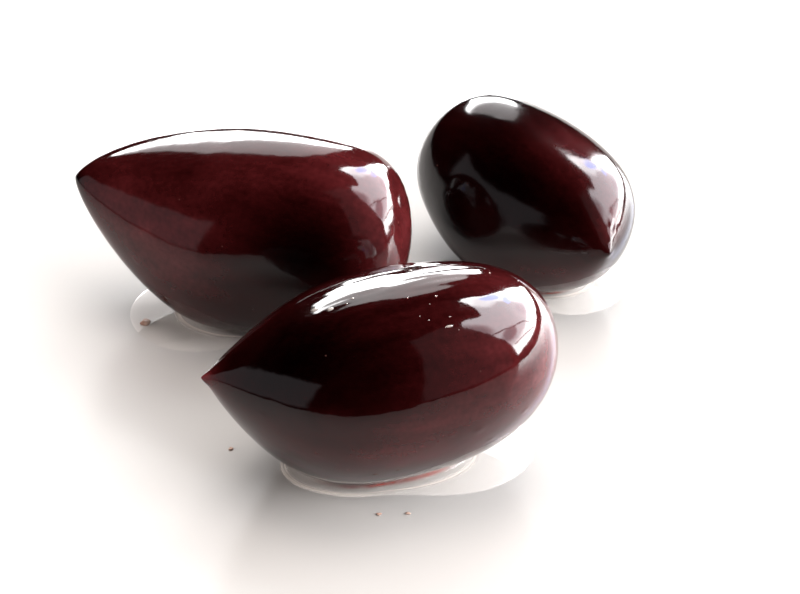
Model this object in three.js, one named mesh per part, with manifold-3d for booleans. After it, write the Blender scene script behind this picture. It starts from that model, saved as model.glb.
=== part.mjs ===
import * as THREE from 'three';
import { mergeVertices } from 'three/addons/utils/BufferGeometryUtils.js';
import Module from 'manifold-3d';

// Three brined Kalamata-type olives lying loose on a flat surface, tips outward.
// Millimetres, +Z up. The origin is on the surface, below the centre of the heap's box.

// Each olive is described in its own frame before it is laid down: x runs along
// the core from the stem end to the tip, y to the side and z up.
//   length, radius   tip to stem end, and half the greatest girth
//   taper            0 is an ellipse; larger draws the tip out and moves the girth to the stem end
//   fullness         below 1 fills out both ends
//   bow              how far the middle of the core leans to [y, z]
//   sway, hook       further lean to [y, z]: sway to opposite sides at the tip half and the stem half,
//                    hook to the same side at both
//   swell, ripple    extra girth of the tip half, and of the ends against the shoulders
//   tipSwell         extra girth near the tip, and as much less near the stem end
//   endSwell         extra girth near both ends
//   oval, twist      flattening of the cross-section, and how it changes from stem end to tip
//   corners, cornerTwist  three blunt ridges along the olive, and how they change likewise;
//                    each of the four is [share of the girth, degrees that it is turned]
//   nub              how far the small point at the tip stands out, and its radius
//   scar             how deep the pit is where the stem was, its radius, and its place [y, z]
//   place            [x, y] of the olive's middle on the surface
//   turn, lift       degrees the tip points from +X round +Z, and degrees it is raised
const olives = {
  olive_front: {
    length: 28.3, radius: 9.5, taper: 0.51, fullness: 1.05,
    bow: [0.95, -1.13], sway: [0.15, -1.69], hook: [1.08, -0.07],
    swell: 0.23, ripple: -0.008, tipSwell: -0.07, endSwell: 0.09,
    oval: [0.091, 37], twist: [0.022, 86], corners: [0.022, 30], cornerTwist: [0.053, 8.4],
    nub: { depth: 0.3, radius: 0.5 },
    scar: { depth: 0.6, radius: 1.2, at: [-3.4, -1.2] },
    place: [-1.5, -23.5], turn: 195.3, lift: 2.7,
    color: 0x3c1013, roughness: 0.16,
  },
  olive_left: {
    length: 28.7, radius: 8.2, taper: 0.62, fullness: 0.86,
    bow: [-0.58, -0.81], sway: [0.41, -2.01], hook: [-2.55, 0.81],
    swell: 0.11, ripple: 0.014, tipSwell: -0.29, endSwell: 0.06,
    oval: [0.073, 130], twist: [0.041, -39], corners: [0.042, 46], cornerTwist: [0.06, 20],
    nub: { depth: 0.06, radius: 0.8 },
    scar: { depth: 0.9, radius: 1.2, at: [-1.3, 4.6] },
    place: [-13.28, -2.26], turn: 166.6, lift: 9.5,
    color: 0x561114, roughness: 0.18,
  },
  olive_right: {
    length: 22.5, radius: 7.51, taper: 0.6, fullness: 0.87,
    bow: [0.82, -0.38], sway: [0.61, -1.36], hook: [2.3, 1.75],
    swell: 0.13, ripple: 0.012, tipSwell: 0.21, endSwell: 0.09,
    oval: [0.028, 16], twist: [0.128, 76], corners: [0.029, -17], cornerTwist: [0.088, 36],
    nub: { depth: 0.2, radius: 0.5 },
    scar: { depth: 0.6, radius: 1.1, at: [3.2, -1] },
    place: [10.6, 3.88], turn: -53.7, lift: 3.1,
    color: 0x1f0a0c, roughness: 0.15,
  },
};

const pressedFlat = 0.16; // how much of each round underside is pressed flat by its own weight
const facetsAround = 58;
const facetsAlong = 32;
const weldDistance = 1e-4;
const cutterSize = 100; // a block larger than any olive

const wasm = await Module();
wasm.setup();

// Share of the greatest girth at an angle from the tip: sine times a power of the half
// sine, which is 1 at its highest and 0 at both ends.
function girthShare(olive, polar) {
  const bell = (angle) => Math.max(Math.sin(angle), 0) * Math.sin(angle / 2) ** olive.taper;
  const widest = 2 * Math.atan(Math.sqrt(1 + olive.taper));
  return (bell(polar) / bell(widest)) ** olive.fullness;
}

// A share of the girth that comes and goes so many times round the core.
function waveRound([share, turned], times, around) {
  return share * Math.cos(times * (around - THREE.MathUtils.degToRad(turned)));
}

// How far a bell-shaped mark of a depth and a radius shifts the skin, at a distance from its middle.
function markAt(mark, distance) {
  return mark.depth * Math.exp(-((distance / mark.radius) ** 2));
}

// A point of the skin, at an angle from the tip and an angle round the core.
function skinPoint(olive, polar, around) {
  const reach = Math.cos(polar); // 1 at the tip, -1 at the stem end
  const middle = 1 - reach * reach; // 1 in the middle, 0 at both ends
  const along = olive.swell * reach + olive.ripple * Math.cos(2 * Math.PI * reach);
  const uneven = waveRound(olive.twist, 2, around) * reach
    + waveRound(olive.corners, 3, around)
    + waveRound(olive.cornerTwist, 3, around) * reach
    + olive.tipSwell * reach ** 3
    + olive.endSwell * reach ** 2;
  const radius = olive.radius * girthShare(olive, polar)
    * (1 + waveRound(olive.oval, 2, around))
    * (1 + middle * along)
    * (1 + middle * uneven);
  const y = radius * Math.cos(around);
  const z = radius * Math.sin(around);
  const mark = reach > 0 ? markAt(olive.nub, radius)
    : markAt(olive.scar, Math.hypot(y - olive.scar.at[0], z - olive.scar.at[1]));
  const lean = (side) => middle
    * (olive.bow[side] + olive.sway[side] * reach + olive.hook[side] * reach ** 2);
  return new THREE.Vector3((olive.length / 2) * reach + mark, y + lean(0), z + lean(1));
}

// A closed sphere's net with each of its points moved out to the skin, tip raised by lift.
function wholeOlive(olive) {
  const net = new THREE.SphereGeometry(1, facetsAround, facetsAlong);
  net.deleteAttribute('normal');
  net.deleteAttribute('uv');
  net.rotateZ(-Math.PI / 2);
  const points = net.attributes.position;
  for (let i = 0; i < points.count; i += 1) {
    const polar = Math.acos(THREE.MathUtils.clamp(points.getX(i), -1, 1));
    const around = Math.atan2(points.getZ(i), points.getY(i));
    const point = skinPoint(olive, polar, around);
    points.setXYZ(i, point.x, point.y, point.z);
  }
  net.rotateY(-THREE.MathUtils.degToRad(olive.lift));
  return mergeVertices(net, weldDistance);
}

function toSolid(geometry) {
  return new wasm.Manifold(new wasm.Mesh({
    numProp: 3,
    vertProperties: new Float32Array(geometry.attributes.position.array),
    triVerts: new Uint32Array(geometry.index.array),
  }));
}

function toGeometry(solid) {
  const net = solid.getMesh();
  const geometry = new THREE.BufferGeometry();
  geometry.setAttribute('position', new THREE.BufferAttribute(net.vertProperties, 3));
  geometry.setIndex(new THREE.BufferAttribute(net.triVerts, 1));
  geometry.computeVertexNormals();
  return geometry;
}

// Lowers a solid until a little of it is below the surface, and cuts that away.
function setOnSurface(geometry) {
  geometry.computeBoundingBox();
  geometry.translate(0, 0, -pressedFlat - geometry.boundingBox.min.z);
  const block = new THREE.BoxGeometry(cutterSize, cutterSize, cutterSize);
  block.deleteAttribute('normal');
  block.deleteAttribute('uv');
  block.translate(0, 0, -cutterSize / 2);
  return toGeometry(toSolid(geometry).subtract(toSolid(mergeVertices(block, weldDistance))));
}

function oliveMesh(name, olive) {
  const skin = new THREE.MeshStandardMaterial({
    color: olive.color,
    roughness: olive.roughness,
    metalness: 0,
  });
  const mesh = new THREE.Mesh(setOnSurface(wholeOlive(olive)), skin);
  mesh.name = name;
  mesh.position.set(olive.place[0], olive.place[1], 0);
  mesh.rotation.z = THREE.MathUtils.degToRad(olive.turn);
  return mesh;
}

const heap = new THREE.Group();
for (const [name, olive] of Object.entries(olives)) {
  heap.add(oliveMesh(name, olive));
}

// The heap is moved so that its box is centred over the origin.
const centre = new THREE.Box3().setFromObject(heap, true).getCenter(new THREE.Vector3());
heap.position.set(-centre.x, -centre.y, 0);

export default heap;
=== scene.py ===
import math

import bpy
import numpy as np
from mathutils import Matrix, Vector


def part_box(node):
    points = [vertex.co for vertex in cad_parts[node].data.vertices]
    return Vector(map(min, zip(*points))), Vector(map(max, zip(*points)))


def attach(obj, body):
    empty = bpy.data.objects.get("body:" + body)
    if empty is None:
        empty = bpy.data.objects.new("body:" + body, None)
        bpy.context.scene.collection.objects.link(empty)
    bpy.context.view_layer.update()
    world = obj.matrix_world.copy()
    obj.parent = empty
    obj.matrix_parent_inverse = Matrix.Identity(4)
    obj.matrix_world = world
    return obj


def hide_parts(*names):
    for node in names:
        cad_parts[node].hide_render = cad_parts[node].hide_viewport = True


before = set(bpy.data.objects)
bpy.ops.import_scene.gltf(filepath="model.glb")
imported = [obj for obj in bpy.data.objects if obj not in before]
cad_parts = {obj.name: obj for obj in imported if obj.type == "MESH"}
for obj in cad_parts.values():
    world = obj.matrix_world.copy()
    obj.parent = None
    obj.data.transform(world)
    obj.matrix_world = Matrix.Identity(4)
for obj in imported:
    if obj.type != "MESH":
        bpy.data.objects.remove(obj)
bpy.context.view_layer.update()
mm = 0.001  # sizes below are in millimetres unless they say otherwise


class Wire:
    # an output socket; sums, differences, products, quotients and powers of wires and numbers add Math nodes
    def __init__(self, paint, socket):
        self.paint = paint
        self.socket = socket

    def math(self, operation, *values):
        return self.paint.add("Math", {"operation": operation}, dict(enumerate(values)))

    def __add__(self, other):
        return self.math("ADD", self, other)

    def __radd__(self, other):
        return self.math("ADD", other, self)

    def __sub__(self, other):
        return self.math("SUBTRACT", self, other)

    def __rsub__(self, other):
        return self.math("SUBTRACT", other, self)

    def __mul__(self, other):
        return self.math("MULTIPLY", self, other)

    def __rmul__(self, other):
        return self.math("MULTIPLY", other, self)

    def __truediv__(self, other):
        return self.math("DIVIDE", self, other)

    def __pow__(self, other):
        return self.math("POWER", self, other)

    def between(self, low, high):
        # 0 below low, 1 above high, smooth on the way; high may be the lower one
        settings = {"interpolation_type": "SMOOTHSTEP"}
        return self.paint.add("MapRange", settings, {0: self, 1: low, 2: high, 3: 0.0, 4: 1.0})


class Paint:
    # the node tree of a material, a light or the world, emptied
    def __init__(self, owner):
        owner.use_nodes = True
        self.tree = owner.node_tree
        self.tree.nodes.clear()

    def add(self, kind, settings=None, sockets=None, output=0):
        # a node of this kind, its settings, then its sockets' values or wires by name or number
        node = self.tree.nodes.new("ShaderNode" + kind)
        for name, value in (settings or {}).items():
            setattr(node, name, value)
        for key, value in (sockets or {}).items():
            if isinstance(value, Wire):
                self.tree.links.new(value.socket, node.inputs[key])
            else:
                node.inputs[key].default_value = value
        return Wire(self, node.outputs[output]) if node.outputs else node

    def blend(self, share, first, second):
        # a colour between two colours
        return self.add("Mix", {"data_type": "RGBA"}, {0: share, 6: first, 7: second}, output=2)

    def stretched(self, place, scale):
        return self.add("VectorMath", {"operation": "MULTIPLY"}, {0: place, 1: scale})

    def noise(self, place, scale, detail=2.0, rough=0.5):
        sockets = {"Vector": place, "Scale": scale, "Detail": detail, "Roughness": rough}
        return self.add("TexNoise", None, sockets)


def rgb(red, green, blue):
    return (red, green, blue, 1.0)


def waves(points, length, draw, count=28):
    # smooth unevenness of about unit height: sine waves of one length that run in random directions
    directions = draw.normal(size=(count, 3))
    directions *= 2 * math.pi / length / np.linalg.norm(directions, axis=1, keepdims=True)
    shifts = draw.uniform(0, 2 * math.pi, count)
    return np.sin(points @ directions.T + shifts).sum(-1) * math.sqrt(2 / count)


def bell(distance, reach):
    # 1 at no distance, falling away smoothly with its square
    return np.exp(-((distance / reach) ** 2))


def ringFaces(rings, around):
    # quads between neighbouring rings, and a fan at each pole; the poles are the last two points
    ring = np.arange(rings - 1)[:, None] * around
    step = np.arange(around)[None, :]
    following = (step + 1) % around
    quads = np.stack([ring + step, ring + following, ring + around + following, ring + around + step], -1)
    firstPole = rings * around
    lastRing = (rings - 1) * around
    step = step[0]
    following = following[0]
    startFan = np.stack([following, step, np.full(around, firstPole)], -1)
    endFan = np.stack([lastRing + step, lastRing + following, np.full(around, firstPole + 1)], -1)
    return quads.reshape(-1, 4).tolist() + startFan.tolist() + endFan.tolist()


def closedMesh(name, rings, firstPole, lastPole):
    # rings is an array of rings, steps round and x, y, z, in millimetres
    count, around = rings.shape[:2]
    points = np.concatenate([rings.reshape(-1, 3), [firstPole, lastPole]]) * mm
    mesh = bpy.data.meshes.new(name)
    mesh.from_pydata(points.tolist(), [], ringFaces(count, around))
    mesh.polygons.foreach_set("use_smooth", np.ones(len(mesh.polygons), bool))
    mesh.update()
    piece = bpy.data.objects.new(name, mesh)
    bpy.context.scene.collection.objects.link(piece)
    return piece


def keepValue(piece, name, values):
    # stores a number for each point, which the material reads
    attribute = piece.data.attributes.new(name, "FLOAT", "POINT")
    attribute.data.foreach_set("value", np.asarray(values, np.float32).ravel())


def keepPlace(piece, name, places):
    # stores a vector for each point, which the material reads
    attribute = piece.data.attributes.new(name, "FLOAT_VECTOR", "POINT")
    attribute.data.foreach_set("vector", np.asarray(places, np.float32).ravel())


# the olives, each in its own frame: x along the core from the stem end to the tip, y to the side and z up;
# oval, twist, corners and cornerTwist are a share of the girth and the degrees it is turned round the core;
# tone is how light and red the skin looks, 0 to about 1, and its patches are added to it, each at so many
# degrees from the tip and round the core, with a reach in degrees; the tone is partly the skin's own colour
# and partly painted light and shade: patches darken the skin where the front lamp lights it and redden it
# where window light would glow through it; wrinkles lie in such a patch; dents are
# small hollows and pimples: degrees from the tip, degrees round the core, reach in degrees, height
olives = {
    "olive_front": {
        "length": 28.3, "radius": 9.5, "taper": 0.51, "fullness": 1.05,
        "bow": (0.95, -1.13), "sway": (0.15, -1.69), "hook": (1.08, -0.07),
        "swell": 0.23, "ripple": -0.008, "tipSwell": -0.07, "endSwell": 0.09,
        "oval": (0.091, 37), "twist": (0.022, 86), "corners": (0.022, 30), "cornerTwist": (0.053, 8.4),
        "nub": {"depth": 0.3, "radius": 0.5},
        "scar": {"depth": 0.6, "radius": 1.2, "at": (-3.4, -1.2)},
        "turn": 195.3, "lift": 2.7,
        "slot": "skin_maroon", "seed": 11, "roughness": 0.07, "ior": 1.36,
        "toneAndPaintedLight": 0.45,
        "patches": [
            {"at": (46, 46), "reach": 34, "toneAndPaintedLight": -0.33}, {"at": (0, 0), "reach": 18, "toneAndPaintedLight": 1.1},
            {"at": (158, 10), "reach": 42, "toneAndPaintedLight": 0.85}, {"at": (105, 86), "reach": 35, "toneAndPaintedLight": 0.2},
            {"at": (92, -8), "reach": 30, "toneAndPaintedLight": 0.45}, {"at": (48, -10), "reach": 30, "toneAndPaintedLight": 0.4},
            {"at": (80, 34), "reach": 22, "toneAndPaintedLight": -0.15},
        ],
        "wrinkles": {"at": (96, 94), "reach": 26, "height": 0.012},
        "dents": [
            (112, 356, 1.9, -0.035), (102, 359, 1.3, -0.02), (125, 325, 2.2, -0.03), (97, 22, 1.2, -0.02),
            (118, 340, 1.4, -0.025), (84, 36, 1.6, 0.012), (88, 20, 1.3, -0.015), (30, 71, 2.4, 0.02),
            (40, 8, 1.4, -0.02), (60, 350, 1.2, -0.015), (132, 352, 1.5, -0.025), (106, 4, 1.1, 0.015),
        ],
    },
    "olive_left": {
        "length": 28.7, "radius": 8.2, "taper": 0.62, "fullness": 0.86,
        "bow": (-0.58, -0.81), "sway": (0.41, -2.01), "hook": (-2.55, 0.81),
        "swell": 0.11, "ripple": 0.014, "tipSwell": -0.29, "endSwell": 0.06,
        "oval": (0.073, 130), "twist": (0.041, -39), "corners": (0.042, 46), "cornerTwist": (0.06, 20),
        "nub": {"depth": 0.06, "radius": 0.8},
        "scar": {"depth": 0.9, "radius": 1.2, "at": (-1.3, 4.6)},
        "turn": 166.6, "lift": 9.5,
        "slot": "skin_red_brown", "seed": 12, "roughness": 0.09, "ior": 1.35,
        "toneAndPaintedLight": 0.62,
        "patches": [
            {"at": (120, 24), "reach": 28, "toneAndPaintedLight": -0.6}, {"at": (112, -26), "reach": 30, "toneAndPaintedLight": -0.25},
            {"at": (155, 70), "reach": 45, "toneAndPaintedLight": 0.5}, {"at": (58, -4), "reach": 34, "toneAndPaintedLight": 0.5},
            {"at": (11, 28), "reach": 7, "toneAndPaintedLight": -0.45}, {"at": (95, -30), "reach": 24, "toneAndPaintedLight": 0.2},
        ],
        "wrinkles": {"at": (150, 120), "reach": 22, "height": 0.008},
        "dents": [
            (97, 40, 2.0, 0.012), (109, 33, 1.7, 0.012), (91, 37, 1.6, -0.015), (70, 20, 1.4, -0.015),
            (126, 60, 1.5, -0.012), (60, 340, 1.8, -0.02), (147, 60, 2.4, -0.02),
        ],
    },
    "olive_right": {
        "length": 22.5, "radius": 7.51, "taper": 0.6, "fullness": 0.87,
        "bow": (0.82, -0.38), "sway": (0.61, -1.36), "hook": (2.3, 1.75),
        "swell": 0.13, "ripple": 0.012, "tipSwell": 0.21, "endSwell": 0.09,
        "oval": (0.028, 16), "twist": (0.128, 76), "corners": (0.029, -17), "cornerTwist": (0.088, 36),
        "nub": {"depth": 0.2, "radius": 0.5},
        "scar": {"depth": 0.6, "radius": 1.1, "at": (3.2, -1)},
        "turn": -53.7, "lift": 3.1,
        "slot": "skin_black", "seed": 13, "roughness": 0.115, "ior": 1.33,
        "toneAndPaintedLight": 0.24,
        "patches": [
            {"at": (60, 72), "reach": 32, "toneAndPaintedLight": 0.65}, {"at": (18, 60), "reach": 18, "toneAndPaintedLight": 0.45},
            {"at": (38, 240), "reach": 28, "toneAndPaintedLight": 0.5}, {"at": (130, 130), "reach": 30, "toneAndPaintedLight": 0.16},
            {"at": (75, 215), "reach": 34, "toneAndPaintedLight": 0.5}, {"at": (72, 140), "reach": 26, "toneAndPaintedLight": -0.12},
        ],
        "wrinkles": {"at": (16, 80), "reach": 12, "height": 0.012},
        "dents": [
            (26, 74, 3.0, -0.05), (23, 58, 2.2, -0.03), (20, 184, 2.6, 0.03), (101, 103, 2.4, -0.015),
            (14, 150, 3.0, -0.03), (60, 200, 2.0, -0.015),
        ],
    },
}
skinForm = {
    "along": 270, "around": 340,
    "pressedFlat": 0.16,  # how much of each underside is flat
    "relief": [(6.5, 0.006), (2.6, 0.0025), (1.1, 0.001)],  # length and height of the skin's waves
    "wrinkleLength": 0.8, "wrinkleStretch": (0.12, 1, 1),
}


def girthShare(o, polar):
    # sine of the angle from the tip times a power of its half sine, 1 at the widest and 0 at both ends
    widest = 2 * math.atan(math.sqrt(1 + o["taper"]))
    highest = math.sin(widest) * math.sin(widest / 2) ** o["taper"]
    share = np.maximum(np.sin(polar), 0) * np.sin(polar / 2) ** o["taper"]
    return (share / highest) ** o["fullness"]


def waveRound(wave, times, around):
    # a share of the girth that comes and goes so many times round the core
    share, turned = wave
    return share * np.cos(times * (around - math.radians(turned)))


def skinShape(o, polar, around):
    # with r the cosine of the angle from the tip and m = 1 - r r: x is half the length times r, and y and z
    # go round at the girth (1 + oval) (1 + m along) (1 + m uneven), moved by m (bow + sway r + hook r r)
    reach = np.cos(polar)
    middle = 1 - reach**2
    along = o["swell"] * reach + o["ripple"] * np.cos(2 * math.pi * reach)
    uneven = waveRound(o["twist"], 2, around) * reach + waveRound(o["corners"], 3, around)
    uneven = uneven + waveRound(o["cornerTwist"], 3, around) * reach
    uneven = uneven + o["tipSwell"] * reach**3 + o["endSwell"] * reach**2
    radius = o["radius"] * girthShare(o, polar) * (1 + waveRound(o["oval"], 2, around))
    radius = radius * (1 + middle * along) * (1 + middle * uneven)
    y = radius * np.cos(around)
    z = radius * np.sin(around)
    nub = o["nub"]["depth"] * bell(radius, o["nub"]["radius"])
    fromScar = np.hypot(y - o["scar"]["at"][0], z - o["scar"]["at"][1])
    scar = o["scar"]["depth"] * bell(fromScar, o["scar"]["radius"])
    x = o["length"] / 2 * reach + np.where(reach > 0, nub, scar)
    y = y + middle * (o["bow"][0] + o["sway"][0] * reach + o["hook"][0] * reach**2)
    z = z + middle * (o["bow"][1] + o["sway"][1] * reach + o["hook"][1] * reach**2)
    return np.stack([x, y, z], -1)


def gridNormals(rings):
    # the cross product of the steps along and round the grid, pointing out where the rings run clockwise
    along = np.gradient(rings, axis=0)
    across = np.roll(rings, -1, 1) - np.roll(rings, 1, 1)
    normal = np.cross(along, across)
    return normal / np.linalg.norm(normal, axis=-1, keepdims=True)


def laidDown(o, points):
    # raises the tip by lift about y, then turns the olive round z
    lift = math.radians(o["lift"])
    turn = math.radians(o["turn"])
    level = points[..., 0] * math.cos(lift) - points[..., 2] * math.sin(lift)
    aside = points[..., 1]
    x = level * math.cos(turn) - aside * math.sin(turn)
    y = level * math.sin(turn) + aside * math.cos(turn)
    z = points[..., 0] * math.sin(lift) + points[..., 2] * math.cos(lift)
    return np.stack([x, y, z], -1)


def ownWay(polar, around):
    # the direction at these angles from the tip and round the core
    y = np.sin(polar) * np.cos(around)
    z = np.sin(polar) * np.sin(around)
    return np.stack(np.broadcast_arrays(np.cos(polar), y, z), -1)


def patchShare(patch, way):
    # 1 in the middle of a patch, falling away with the angle from there
    middle = ownWay(*np.radians(np.array(patch["at"], float)))
    return bell(np.degrees(np.arccos(np.clip(way @ middle, -1, 1))), patch["reach"])


def reliefHeight(o, own, way):
    # waves of three lengths, wrinkles that run along the olive where their patch is, and the dents
    draw = np.random.default_rng(o["seed"])
    height = sum(tall * waves(own, length, draw) for length, tall in skinForm["relief"])
    folds = waves(own * skinForm["wrinkleStretch"], skinForm["wrinkleLength"], draw)
    height = height + o["wrinkles"]["height"] * folds * patchShare(o["wrinkles"], way)
    for fromTip, around, reach, tall in o["dents"]:
        height = height + tall * patchShare({"at": (fromTip, around), "reach": reach}, way)
    return height


def skinToneAndPaintedLight(o, way):
    # the olive's tone and what its patches add there: the skin's own colour together with painted light and
    # shade
    return o["toneAndPaintedLight"] + sum(patch["toneAndPaintedLight"] * patchShare(patch, way) for patch in o["patches"])


def makeOlive(name, o):
    # the skin with its relief, laid down and moved to its solid's place, its underside pressed flat
    polar = np.linspace(0, math.pi, skinForm["along"] + 2)[1:-1, None]
    around = np.linspace(2 * math.pi, 0, skinForm["around"], endpoint=False)[None, :]
    own = skinShape(o, polar, around)
    way = ownWay(polar, around)
    own = own + gridNormals(own) * reliefHeight(o, own, way)[..., None]
    poles = np.stack([own[0].mean(0), own[-1].mean(0)])
    rings = laidDown(o, own)
    ends = laidDown(o, poles)
    low, high = (np.array(corner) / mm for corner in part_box(name))
    shift = (low + high) / 2 - (rings.min((0, 1)) + rings.max((0, 1))) / 2
    shift[2] = -skinForm["pressedFlat"] - rings[..., 2].min()
    rings = rings + shift
    ends = ends + shift
    rings[..., 2] = np.maximum(rings[..., 2], 0)
    piece = closedMesh(name + "_skin", rings, ends[0], ends[1])
    keepPlace(piece, "ownPlace", np.concatenate([own.reshape(-1, 3), poles]))
    way = np.concatenate([way.reshape(-1, 3), [[1, 0, 0], [-1, 0, 0]]])
    # the tone holds painted light and shade from the patches as well as the skin's own colour
    keepValue(piece, "toneAndPaintedLight", skinToneAndPaintedLight(o, way))
    piece.data.materials.append(skinMaterial(name, o))
    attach(piece, "root")
    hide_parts(name)
    return rings, shift


# red is how much red the skin returns where the tone is 1; green and blue are shares of the red, at tone 0
# and 1; scales are in waves or pores for each millimetre; a detail is how many finer noises are added, and
# how strong each is against the one before
skinLook = {
    "red": 0.05, "steep": 2.2, "green": (0.05, 0.13), "blue": (0.06, 0.15),
    "blotchScale": 0.16, "blotchDetail": (3.0, 0.55), "blotchShare": 0.5,
    "streakScale": (0.06, 0.55, 0.55), "streakDetail": (3.0, 0.6), "streakShare": 0.6,
    "speckScale": 2.2, "speckDetail": 1.0, "speckShare": 0.3,
    "unevenAdded": 0.15, "darkestTone": 0.02,
    "poreScale": 0.62, "poreSize": (0.07, 0.028), "poreChosen": (0.76, 0.84), "poreShare": 0.3,
    "poreColour": rgb(0.20, 0.09, 0.08),
    "fineBump": 0.004, "fineScale": 1.7,
    "roughnessShare": (0.7, 1.3),
}


def skinMaterial(name, o):
    # the tone with blotches, streaks and specks in it makes the colour, with a few pale pores on top; the
    # tone carries the painted light and shade of the olive's patches
    material = bpy.data.materials.new(name + "_skin")
    paint = Paint(material)
    place = paint.add("Attribute", {"attribute_name": "ownPlace"}, output=1)
    blotch = paint.noise(place, skinLook["blotchScale"], *skinLook["blotchDetail"])
    stretched = paint.stretched(place, skinLook["streakScale"])
    streak = paint.noise(stretched, 1.0, *skinLook["streakDetail"])
    speck = paint.noise(place, skinLook["speckScale"], skinLook["speckDetail"])
    uneven = (blotch - 0.5) * skinLook["blotchShare"] + (streak - 0.5) * skinLook["streakShare"]
    uneven = uneven + (speck - 0.5) * skinLook["speckShare"]
    toneAndPaintedLight = paint.add("Attribute", {"attribute_name": "toneAndPaintedLight"}, output=2)
    toneAndPaintedLight = toneAndPaintedLight * (1.0 + uneven) + uneven * skinLook["unevenAdded"]
    toneAndPaintedLight = toneAndPaintedLight.math("MAXIMUM", toneAndPaintedLight, skinLook["darkestTone"])
    red = toneAndPaintedLight ** skinLook["steep"] * skinLook["red"]
    shares = (skinLook["green"], skinLook["blue"])
    green, blue = (red * (start + (end - start) * toneAndPaintedLight) for start, end in shares)
    colour = paint.add("CombineColor", None, {0: red, 1: green, 2: blue})
    pores = {"Vector": place, "Scale": skinLook["poreScale"], "Randomness": 1.0}
    distance = paint.add("TexVoronoi", {"feature": "F1"}, pores)
    chosen = paint.add("TexVoronoi", {"feature": "F1"}, pores, output=1)
    chosen = paint.add("SeparateColor", None, {0: chosen})
    pore = distance.between(*skinLook["poreSize"]) * chosen.between(*skinLook["poreChosen"])
    colour = paint.blend(pore * skinLook["poreShare"], colour, skinLook["poreColour"])
    smooth, rough = skinLook["roughnessShare"]
    roughness = o["roughness"] * (smooth + (rough - smooth) * streak)
    fine = paint.noise(place, skinLook["fineScale"]) * skinLook["fineBump"]
    normal = paint.add("Bump", None, {"Strength": 1.0, "Distance": mm, "Height": fine})
    skin = paint.add("BsdfPrincipled", None, {
        "Base Color": colour, "Roughness": roughness, "IOR": o["ior"], "Normal": normal,
    })
    paint.add("OutputMaterial", None, {"Surface": skin})
    return material


skins = {}
shifts = {}
for name, o in olives.items():
    skins[name], shifts[name] = makeOlive(name, o)
print("olives made")


# the brine climbs each olive in a hollow curve of the climb radius, and spreads beyond the foot of that
# curve; both are given in twelve equal steps round the centre from +X, turning to +Y; film is its depth,
# edge the width of its rim and edgePower how thin the rim runs out; stainTo is the side that is stained
# most, in degrees from +X; and the reach is how far the painted light spreads from the foot: a pale layer
# at the foot and the rim stands in for the light that the curved brine gathers there
pools = {
    "olive_front": {
        "centre": (0.3, -13.8), "film": 0.12, "edge": 0.3, "edgePower": 1,
        "climb": (0.9, 0.9, 0.7, 0.5, 0.5, 0.6, 0.8, 0.66, 0.5, 0.45, 0.5, 0.66),
        "spread": (3.9, 4.5, 1.6, 0.6, 0.5, 0.5, 0.4, 0.35, 0.3, 0.35, 0.45, 1.3),
        "stainTo": -50, "stainShare": 0.9, "paintedLightReach": 0.2,
    },
    "olive_left": {
        "centre": (-9.8, 6.7), "film": 0.08, "edge": 0.8, "edgePower": 1.8,
        "climb": (0.3, 0.3, 0.3, 0.3, 0.32, 0.4, 0.42, 0.34, 0.28, 0.24, 0.24, 0.26),
        "spread": (0.8, 0.8, 0.8, 0.8, 2.0, 3.7, 4.3, 3.6, 2.4, 1.6, 1.0, 0.8),
        "stainTo": -110, "stainShare": 0.25, "paintedLightReach": 0.45,
    },
    "olive_right": {
        "centre": (15.1, 12.7), "film": 0.1, "edge": 0.6, "edgePower": 1.5,
        "climb": (0.6, 0.5, 0.4, 0.35, 0.35, 0.35, 0.3, 0.26, 0.24, 0.22, 0.26, 0.42),
        "spread": (3.0, 2.2, 1.2, 1.0, 1.0, 1.0, 1.0, 0.9, 0.9, 1.4, 2.6, 3.3),
        "stainTo": -80, "stainShare": 0.9, "paintedLightReach": 0.4,
    },
}
poolForm = {
    "around": 360, "climb": 16, "film": 18, "edge": 9, "hidden": (0.3, 0.7, 0.9),
    "climbArc": (110, 270),  # degrees round the hollow curve, from the skin to the film
    "stainArc": 198, "stainWidth": 0.3, "footWidth": 0.16, "rimWidth": 0.3,
    "intoSkin": 0.03, "leastFilm": 0.03, "leastStep": 0.001,
}


def throughRadii(radii, angles):
    # a smooth closed curve through evenly spaced radii: their cosine and sine waves
    parts = np.fft.rfft(radii) / len(radii)
    steps = np.arange(1, len(parts) - 1)
    turned = np.exp(1j * angles[:, None] * steps)
    return parts[0].real + 2 * (turned * parts[1:-1]).real.sum(1)


def touchRadius(skin, centre, height, angles):
    # how far the underside is from the centre, at each angle, where it is at this height: the crossings of
    # the skin's grid lines with that height
    above = skin[..., 2] - height
    following = np.roll(skin, -1, 1)
    crossing = (above < 0) != (np.roll(above, -1, 1) < 0)
    share = (above / (above - np.roll(above, -1, 1)))[crossing][:, None]
    away = (skin[crossing] + (following - skin)[crossing] * share)[:, :2] - centre
    turn = np.arctan2(away[:, 1], away[:, 0])
    order = np.argsort(turn)
    return np.interp(angles, turn[order], np.hypot(away[:, 0], away[:, 1])[order], period=2 * math.pi)


def closedCurve(centre, radius, angles):
    # points at a radius that changes round a centre, and the directions that point out of that curve
    points = centre + radius[:, None] * np.stack([np.cos(angles), np.sin(angles)], -1)
    along = np.roll(points, -1, 0) - np.roll(points, 1, 0)
    outward = np.stack([along[:, 1], -along[:, 0]], -1)
    return points, outward / np.linalg.norm(outward, axis=1, keepdims=True)


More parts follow.
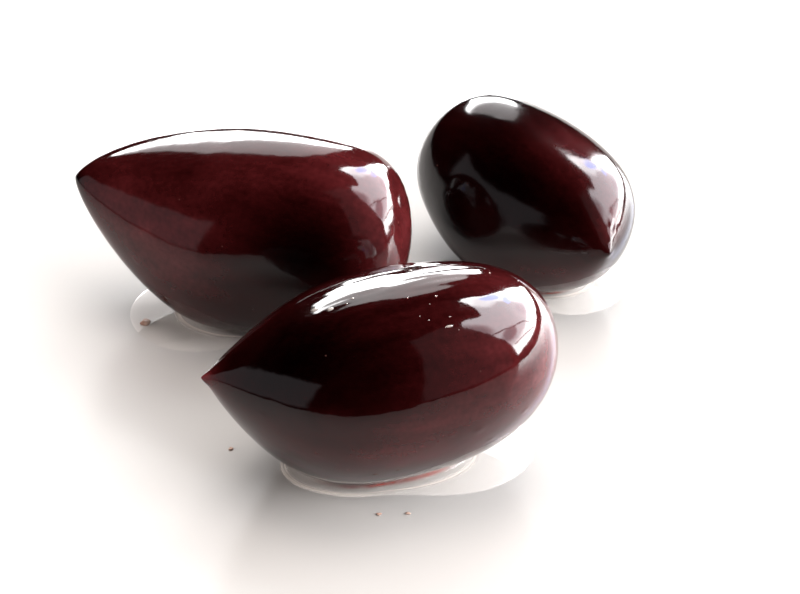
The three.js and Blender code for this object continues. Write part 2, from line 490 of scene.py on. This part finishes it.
def makePool(name, p, skin):
    # rings from under the olive out to the edge: the hollow climb, a flat film and a rounded rim
    form = poolForm
    angles = np.linspace(0, 2 * math.pi, form["around"], endpoint=False)
    centre = np.array(p["centre"])
    stained = np.cos((angles - math.radians(p["stainTo"])) / 2) ** 4
    climb = throughRadii(p["climb"], angles)
    arc = np.radians(np.linspace(*form["climbArc"], form["climb"]))
    touch = p["film"] + climb * (1 + math.sin(arc[0]))
    low = touchRadius(skin, centre, touch.min(), angles)
    high = touchRadius(skin, centre, touch.max() + form["leastStep"], angles)
    share = (touch - touch.min()) / max(touch.max() - touch.min(), form["leastStep"])
    inner, innerOut = closedCurve(centre, low + (high - low) * share, angles)
    rings = []
    paintedLightAmount = []
    stain = []

    def addRing(points, height, paintedLightPart, stainShare):
        rings.append(np.concatenate([points, np.broadcast_to(height, angles.shape)[:, None]], 1))
        paintedLightAmount.append(np.broadcast_to(paintedLightPart, angles.shape))
        stain.append(np.broadcast_to(stainShare, angles.shape))

    for share in form["hidden"]:
        addRing(centre + (inner - centre) * share, touch, 0, 0)
    # painted light: the end of the hollow curve at the foot is made pale
    for angle in arc:
        out = climb * (math.cos(angle) - math.cos(arc[0])) - form["intoSkin"]
        up = climb * (1 + math.sin(angle))
        pale = bell(angle - arc[-1], form["footWidth"])
        red = bell(angle - math.radians(form["stainArc"]), form["stainWidth"]) * p["stainShare"] * stained
        addRing(inner + innerOut * out[:, None], p["film"] + up, pale, red)
    start = rings[-1][:, :2]
    spread = np.maximum(throughRadii(p["spread"], angles), p["edge"] + form["leastFilm"])[:, None]
    end = start + innerOut * (spread - p["edge"])
    # painted light: pale next to the foot, fading out across the film
    for share in np.linspace(0, 1, form["film"])[1:]:
        pale = bell(share * spread[:, 0], p["paintedLightReach"])
        addRing(start + (end - start) * share, p["film"], pale, 0)
    # painted light: pale on the rim where the rim runs close to the foot
    for turn in np.linspace(0, math.pi / 2, form["edge"])[1:]:
        pale = bell(spread[:, 0] - p["edge"] * (1 - math.sin(turn)), form["rimWidth"])
        height = p["film"] * max(math.cos(turn), 0) ** p["edgePower"]
        addRing(end + innerOut * p["edge"] * math.sin(turn), height, pale, 0)
    poles = [[*centre, touch.mean()], [*centre, 0]]
    piece = closedMesh(name.replace("olive", "brine"), np.array(rings)[:, ::-1], *poles)
    for title, values in (("paintedLightAmount", paintedLightAmount), ("stain", stain)):
        keepValue(piece, title, np.concatenate([np.array(values)[:, ::-1].ravel(), [0, 0]]))
    piece.data.materials.append(brineMaterial)
    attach(piece, "root")


# patchScale is in waves for each metre
brineLook = {
    "tint": rgb(0.955, 0.94, 0.925), "ior": 1.33, "roughness": 0.02, "gloss": 0.35, "beadGloss": 1.0,
    # the pale layer is painted light at the brine's foot and rim and on the beads; red is blended into it
    # where stained
    "paintedLight": rgb(0.86, 0.82, 0.78), "paintedLightStrength": 0.8, "paintedLightRoughness": 0.15,
    "stain": rgb(0.45, 0.07, 0.055), "stainShare": 0.85, "stainFull": 0.5,
    "patchScale": 700.0, "patchRange": (0.1, 0.6),
}


def makeBrineMaterial(name, gloss):
    # clear liquid that lets lamp light through, with painted light at its foot and rim, a pale layer that
    # stands in for the light the curved brine gathers there, and stained red where it meets the skin
    material = bpy.data.materials.new(name)
    paint = Paint(material)
    paintedLightAmount = paint.add("Attribute", {"attribute_name": "paintedLightAmount"}, output=2)
    stain = paint.add("Attribute", {"attribute_name": "stain"}, output=2)
    liquid = paint.add("BsdfPrincipled", None, {
        "Base Color": brineLook["tint"], "Roughness": brineLook["roughness"], "IOR": brineLook["ior"],
        "Transmission Weight": 1.0, "Specular IOR Level": gloss,
    })
    place = paint.add("TexCoord", output=3)
    patchy = paint.noise(place, brineLook["patchScale"]).between(*brineLook["patchRange"])
    red = stain.between(0.0, brineLook["stainFull"])
    colour = paint.blend(red, brineLook["paintedLight"], brineLook["stain"])
    paintedLight = paint.add("BsdfPrincipled", None, {
        "Base Color": colour, "Roughness": brineLook["paintedLightRoughness"], "IOR": brineLook["ior"],
    })
    # how much of the pale layer, which is painted light, and of the red stain shows
    share = paintedLightAmount * brineLook["paintedLightStrength"] + stain * patchy * brineLook["stainShare"]
    seen = paint.add("MixShader", None, {0: share, 1: liquid, 2: paintedLight})
    clear = paint.add("BsdfTransparent", None, {0: brineLook["tint"]})
    lamp = paint.add("LightPath", output=1)
    surface = paint.add("MixShader", None, {0: lamp, 1: seen, 2: clear})
    paint.add("OutputMaterial", None, {"Surface": surface})
    return material


brineMaterial = makeBrineMaterial("brine", brineLook["gloss"])
for name, p in pools.items():
    makePool(name, p, skins[name])
print("brine made")


# small beads of brine on the front skin: degrees from the tip, degrees round the core, radius, and how much
# longer than wide they are along the olive; steep is the angle at which they meet the skin
beads = {
    # the beads' pale layer makes them whitish: partly a foamy look and partly a painted highlight
    "olive": "olive_front", "steep": 50, "sink": 0.01, "bottom": -0.05, "paintedLight": 0.4,
    "rings": 9, "around": 24, "firstRing": 0.08, "bottomRing": 0.5, "turnStep": 0.001,
    "each": [
        (65.5, 87.5, 0.28, 1.2), (69.8, 81.5, 0.2, 1.4), (75.2, 81, 0.07, 1), (77.5, 84, 0.1, 1.6),
        (93.2, 72.5, 0.06, 1), (99, 65.5, 0.05, 1), (101.8, 69.5, 0.09, 1), (94.8, 60, 0.055, 1),
        (97.2, 57, 0.07, 1), (104, 56.5, 0.05, 1.6), (106, 49.5, 0.045, 1), (124.8, 86.5, 0.08, 1),
        (137, 82.5, 0.08, 1), (103, 52, 0.1, 3.2), (99, 100, 0.12, 1.4),
    ],
}


def makeBeads(b):
    # each bead is a cap of a ball that meets the skin at the steep angle, bent over the skin below it
    o = olives[b["olive"]]
    polar, around, radius, long = (np.array(column)[:, None, None] for column in zip(*b["each"]))
    polar = np.radians(polar)
    around = np.radians(around)
    steep = math.radians(b["steep"])
    step = b["turnStep"]
    middle = skinShape(o, polar, around)
    alongReach = np.linalg.norm(skinShape(o, polar + step, around) - middle, axis=-1) / step
    roundReach = np.linalg.norm(skinShape(o, polar, around + step) - middle, axis=-1) / step
    share = np.append(np.linspace(b["firstRing"], 1, b["rings"]), b["bottomRing"])[None, :, None]
    turn = np.linspace(0, 2 * math.pi, b["around"], endpoint=False)[None, None, :]
    polar = polar + radius * long * share * np.cos(turn) / alongReach
    around = around + radius * share * np.sin(turn) / roundReach
    own = skinShape(o, polar, around)
    along = skinShape(o, polar + step, around) - own
    across = skinShape(o, polar, around + step) - own
    normal = np.cross(across, along)
    normal = normal / np.linalg.norm(normal, axis=-1, keepdims=True)
    ball = radius / math.sin(steep)
    cap = np.sqrt(ball**2 - (radius * share) ** 2) - ball * math.cos(steep)
    cap = np.broadcast_to(cap, polar.shape).copy()
    cap[:, -1] = b["bottom"]
    height = reliefHeight(o, own, ownWay(polar, around)) + cap - b["sink"]
    rings = laidDown(o, own + normal * height[..., None]) + shifts[b["olive"]]
    material = makeBrineMaterial("bead", brineLook["beadGloss"])
    for number, bead in enumerate(rings):
        piece = closedMesh(f"bead{number}", bead, bead[0].mean(0), bead[-1].mean(0))
        # partly a painted highlight: the same pale layer over the whole bead
        keepValue(piece, "paintedLightAmount", np.full(len(piece.data.vertices), b["paintedLight"]))
        piece.data.materials.append(material)
        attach(piece, "root")


makeBeads(beads)
print("beads made")


# crumbs of skin in the brine: place, half sizes, and a seed for their uneven form; paleScale is in waves for
# each metre
crumbs = {
    "each": [
        {"place": (-17.75, 5.7, 0.2), "size": (0.42, 0.4, 0.17), "seed": 41},
        {"place": (-9.9, -12.1, 0.12), "size": (0.22, 0.16, 0.1), "seed": 42},
        {"place": (2.0, -20.7, 0.11), "size": (0.2, 0.13, 0.09), "seed": 43},
        {"place": (4.3, -20.6, 0.11), "size": (0.24, 0.14, 0.09), "seed": 44},
    ],
    "steps": 12, "around": 18, "uneven": 0.16, "unevenLength": 1.6,
    "colour": rgb(0.4, 0.24, 0.19), "pale": rgb(0.5, 0.37, 0.31),
    "paleScale": 3000.0, "paleRange": (0.35, 0.65), "roughness": 0.5, "gloss": 0.1,
}


def makeCrumbMaterial(c):
    material = bpy.data.materials.new("crumb")
    paint = Paint(material)
    share = paint.noise(paint.add("TexCoord", output=3), c["paleScale"]).between(*c["paleRange"])
    flesh = paint.add("BsdfPrincipled", None, {
        "Base Color": paint.blend(share, c["colour"], c["pale"]),
        "Roughness": c["roughness"], "Specular IOR Level": c["gloss"],
    })
    paint.add("OutputMaterial", None, {"Surface": flesh})
    return material


def makeCrumbs(c):
    # stretched balls with an uneven radius
    material = makeCrumbMaterial(c)
    polar = np.linspace(0, math.pi, c["steps"])[1:-1, None]
    around = np.linspace(2 * math.pi, 0, c["around"], endpoint=False)[None, :]
    ball = ownWay(polar, around)[..., [1, 2, 0]]
    for number, crumb in enumerate(c["each"]):
        draw = np.random.default_rng(crumb["seed"])
        radius = 1 + c["uneven"] * waves(ball, c["unevenLength"], draw)
        rings = ball * radius[..., None] * crumb["size"] + crumb["place"]
        piece = closedMesh(f"crumb{number}", rings, rings[0].mean(0), rings[-1].mean(0))
        piece.data.materials.append(material)
        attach(piece, "root")


makeCrumbs(crumbs)
print("crumbs made")


table = {
    "radius": 115.0, "height": 0.02, "sides": 96,
    "colour": rgb(0.46, 0.46, 0.46), "roughness": 0.22, "gloss": 0.3, "ior": 1.5,
}


def makeTable():
    # a round top, a hair above the ground so that it hides the flat undersides
    angles = np.linspace(0, 2 * math.pi, table["sides"], endpoint=False)
    points = np.stack([np.cos(angles), np.sin(angles), 0 * angles], -1) * table["radius"]
    points[:, 2] = table["height"]
    mesh = bpy.data.meshes.new("table")
    mesh.from_pydata((points * mm).tolist(), [], [list(range(table["sides"]))])
    piece = bpy.data.objects.new("table", mesh)
    bpy.context.scene.collection.objects.link(piece)
    material = bpy.data.materials.new("table")
    paint = Paint(material)
    top = paint.add("BsdfPrincipled", None, {
        "Base Color": table["colour"], "Roughness": table["roughness"], "IOR": table["ior"],
        "Specular IOR Level": table["gloss"],
    })
    paint.add("OutputMaterial", None, {"Surface": top})
    mesh.materials.append(material)


makeTable()
print("table made")


camera = {
    "elevation": 34.2, "distance": 324.0, "aim": (3.67, 9.73, 0.0),
    "lens": 171.45, "sensor": 36, "clipStart": 10,
}


def makeCamera():
    # it looks along +Y and down at the aim
    data = bpy.data.cameras.new("camera")
    data.lens = camera["lens"]
    data.sensor_width = camera["sensor"]
    data.clip_start = camera["clipStart"] * mm
    rig = bpy.data.objects.new("camera", data)
    bpy.context.scene.collection.objects.link(rig)
    up = math.radians(camera["elevation"])
    x, y, z = camera["aim"]
    back = camera["distance"] * math.cos(up)
    high = camera["distance"] * math.sin(up)
    rig.location = (x * mm, (y - back) * mm, (z + high) * mm)
    rig.rotation_euler = (math.pi / 2 - up, 0, 0)
    bpy.context.scene.camera = rig


makeCamera()
print("camera made")


# each place is an azimuth, from the far side (+Y) towards +X, and an elevation from the table, in degrees;
# the pane is bright below a slanting line; patches are rounded areas of another shine, with half their size
# and the share of it that is soft; branches cross the pane
windows = {
    "backWindow": {
        "shine": (4.3, 4.2, 4.2),
        "corners": [
            (8, 3), (8, 15), (7, 28), (4, 38), (1, 44), (-5, 46), (-10, 44), (-18, 40), (-26, 34),
            (-30, 29), (-27, 23), (-21, 18), (-15, 13), (-9, 3),
        ],
        "bright": {"shine": (26, 26, 26), "below": 17, "slope": -0.45, "soft": 1.2},
        "patches": [],
        "branches": [],
    },
    "sideWindow": {
        "shine": (16.5, 15.8, 16.6),
        "corners": [
            (25, -1), (28, 14), (30, 28), (33, 38), (31, 45), (26, 51), (23, 57), (26, 61), (45, 60.5),
            (62, 59.5), (75, 58), (80, 60), (83, 66), (90, 68), (101, 66), (107, 61), (109, 54), (106, 38),
            (102, 24), (98, 1.5), (60, 1.5),
        ],
        "bright": {"shine": (38, 38, 38), "below": 13, "slope": 0.0, "soft": 3},
        "patches": [
            {"at": (24, 38), "size": (26, 60), "soft": 0.6, "shine": (38, 37.5, 38)},
            {"at": (42, 52), "size": (16, 10), "soft": 1.0, "shine": (29, 28.5, 29.5)},
            {"at": (38, 44), "size": (6, 9), "soft": 0.6, "shine": (17, 20, 38)},
            {"at": (45, 32.5), "size": (6.5, 4), "soft": 0.6, "shine": (18, 21, 38)},
            {"at": (36, 25), "size": (4, 4), "soft": 0.6, "shine": (21, 24, 38)},
            {"at": (55, 20), "size": (8, 8), "soft": 1.0, "shine": (14, 13, 14)},
            {"at": (92, 25), "size": (14, 9), "soft": 0.7, "shine": (6.8, 5.4, 5.9)},
            {"at": (108, 52), "size": (16, 22), "soft": 1.0, "shine": (6.4, 5.2, 5.6)},
        ],
        "branches": [
            {"width": 1.5, "through": [
                (61, 2), (65, 10), (69, 17), (74, 21), (80, 25), (86, 29.5), (91, 33.5), (98, 35.5),
                (107, 38),
            ]},
            {"width": 1.2, "through": [(64, 2.5), (70, 6), (77, 9), (85, 11), (96, 12.5)]},
        ],
    },
}
panes = {"distance": 1.0, "branchDistance": 0.97, "branchShine": (1.6, 1.1, 1.2)}  # distances in metres


def onPane(corners, middle, distance):
    # the points of an upright pane at these azimuths and elevations; it faces the azimuth in its middle
    azimuth, elevation = np.radians(np.array(corners, float)).T
    points = np.stack([np.sin(azimuth), np.cos(azimuth), np.tan(elevation)], -1)
    return points * (distance / np.cos(azimuth - math.radians(middle)))[:, None]


def anglesOf(paint, place):
    # the azimuth and elevation of a place, in degrees
    parts = paint.add("SeparateXYZ", None, {0: place})
    x, y, z = (Wire(paint, socket) for socket in parts.socket.node.outputs)
    level = (x * x + y * y) ** 0.5
    azimuth = x.math("ARCTAN2", x, y) * math.degrees(1)
    elevation = z.math("ARCTAN2", z, level) * math.degrees(1)
    return azimuth, elevation


def mirroredOnly(name, points, faces, shine):
    # a glowing stage mesh that shows only in the skins, the brine and the table
    mesh = bpy.data.meshes.new(name)
    mesh.from_pydata(points.tolist(), [], faces)
    piece = bpy.data.objects.new(name, mesh)
    bpy.context.scene.collection.objects.link(piece)
    material = bpy.data.materials.new(name)
    paint = Paint(material)
    glow = paint.add("Emission", None, {0: shine(paint), 1: 1.0})
    paint.add("OutputMaterial", None, {"Surface": glow})
    mesh.materials.append(material)
    piece.visible_camera = False
    piece.visible_diffuse = False
    piece.visible_transmission = False
    piece.visible_shadow = False
    return piece


def windowShine(paint, w):
    # the pane's own shine, then its patches, then the bright part over both
    azimuth, elevation = anglesOf(paint, paint.add("TexCoord", output=3))
    shine = rgb(*w["shine"])
    for patch in w["patches"]:
        aside = (azimuth - patch["at"][0]) / patch["size"][0]
        high = (elevation - patch["at"][1]) / patch["size"][1]
        inside = (aside * aside + high * high).between(1.0, 1.0 - patch["soft"])
        shine = paint.blend(inside, shine, rgb(*patch["shine"]))
    bright = w["bright"]
    height = elevation - azimuth * bright["slope"] - bright["below"]
    return paint.blend(height.between(bright["soft"], -bright["soft"]), shine, rgb(*bright["shine"]))


def makeWindow(name, w):
    # the pane, and thin branches before it
    azimuths = [azimuth for azimuth, elevation in w["corners"]]
    middle = (min(azimuths) + max(azimuths)) / 2
    points = onPane(w["corners"], middle, panes["distance"])
    mirroredOnly(name, points, [list(range(len(points)))], lambda paint: windowShine(paint, w))
    for number, branch in enumerate(w["branches"]):
        through = np.array(branch["through"], float)
        count = len(through)
        thick = np.array([0, branch["width"] / 2])
        sides = np.concatenate([through - thick, through + thick])
        points = onPane(sides, middle, panes["branchDistance"])
        faces = [[i, i + 1, count + i + 1, count + i] for i in range(count - 1)]
        shine = rgb(*panes["branchShine"])
        piece = mirroredOnly(f"{name}Branch{number}", points, faces, lambda paint: shine)
        piece.visible_shadow = True


for name, w in windows.items():
    makeWindow(name, w)
print("windows made")


# a lamp one metre away at an azimuth and an elevation; its size is in metres, and its brightness is in
# lampPower, the watts for each square metre
lampPower = 4.0
softLamps = {
    "softBack": {"at": (8, 50), "size": (0.6, 0.45), "brightness": 6.2, "colour": (1, 0.98, 0.96)},
    "softRight": {"at": (72, 50), "size": (1.2, 0.9), "brightness": 2.2, "colour": (1, 0.97, 0.95)},
    "softSide": {"at": (72, 25), "size": (0.6, 0.45), "brightness": 6.5, "colour": (1, 0.97, 0.95)},
    "softFront": {"at": (122, 32), "size": (0.6, 0.45), "brightness": 13, "colour": (1, 0.96, 0.93)},
    "softLeft": {"at": (-100, 30), "size": (0.6, 0.45), "brightness": 4.4, "colour": (1, 0.88, 0.8)},
    "softTop": {"at": (0, 85), "size": (0.6, 0.6), "brightness": 3.5, "colour": (1, 0.88, 0.8)},
}


def makeLamp(name, lamp):
    # a large soft lamp that faces the olives and never mirrors in them; its power grows with its area
    around, up = (math.radians(angle) for angle in lamp["at"])
    data = bpy.data.lights.new(name, "AREA")
    data.shape = "RECTANGLE"
    data.size, data.size_y = lamp["size"]
    data.color = lamp["colour"]
    data.energy = lampPower * data.size * data.size_y * lamp["brightness"]
    data.cycles.use_multiple_importance_sampling = False
    rig = bpy.data.objects.new(name, data)
    bpy.context.scene.collection.objects.link(rig)
    rig.location = (math.sin(around) * math.cos(up), math.cos(around) * math.cos(up), math.sin(up))
    rig.rotation_euler = (math.pi / 2 - up, 0, math.pi - around)
    rig.visible_camera = False
    rig.visible_glossy = False


for name, lamp in softLamps.items():
    makeLamp(name, lamp)
print("lamps made")


room = {
    "background": rgb(1.0, 1.0, 1.0), "dark": rgb(0.0, 0.0, 0.0), "softEdge": 1.5,
    "walls": [
        {"azimuth": (-134, -78), "elevation": (-4, 29), "shine": rgb(0.66, 0.6, 0.63)},
        {"azimuth": (104, 152), "elevation": (-5, 76), "shine": rgb(0.4, 0.3, 0.31)},
    ],
}


def makeRoom():
    # white behind the olives, and for reflections a dark room with two dim walls
    world = bpy.data.worlds.new("room")
    bpy.context.scene.world = world
    paint = Paint(world)
    azimuth, elevation = anglesOf(paint, paint.add("TexCoord"))
    soft = room["softEdge"]
    glow = room["dark"]
    for wall in room["walls"]:
        inside = 1.0
        for angle, limits in ((azimuth, wall["azimuth"]), (elevation, wall["elevation"])):
            low, high = limits
            past = angle.between(low - soft, low + soft)
            before = angle.between(high + soft, high - soft)
            inside = past * before * inside
        glow = paint.blend(inside, glow, wall["shine"])
    seen = paint.add("LightPath", output=0)
    dark = paint.add("Background", None, {0: glow, 1: 1.0})
    white = paint.add("Background", None, {0: room["background"], 1: 1.0})
    surface = paint.add("MixShader", None, {0: seen, 1: dark, 2: white})
    paint.add("OutputWorld", None, {"Surface": surface})


makeRoom()
bpy.context.scene.view_settings.view_transform = "Standard"
print("room made")
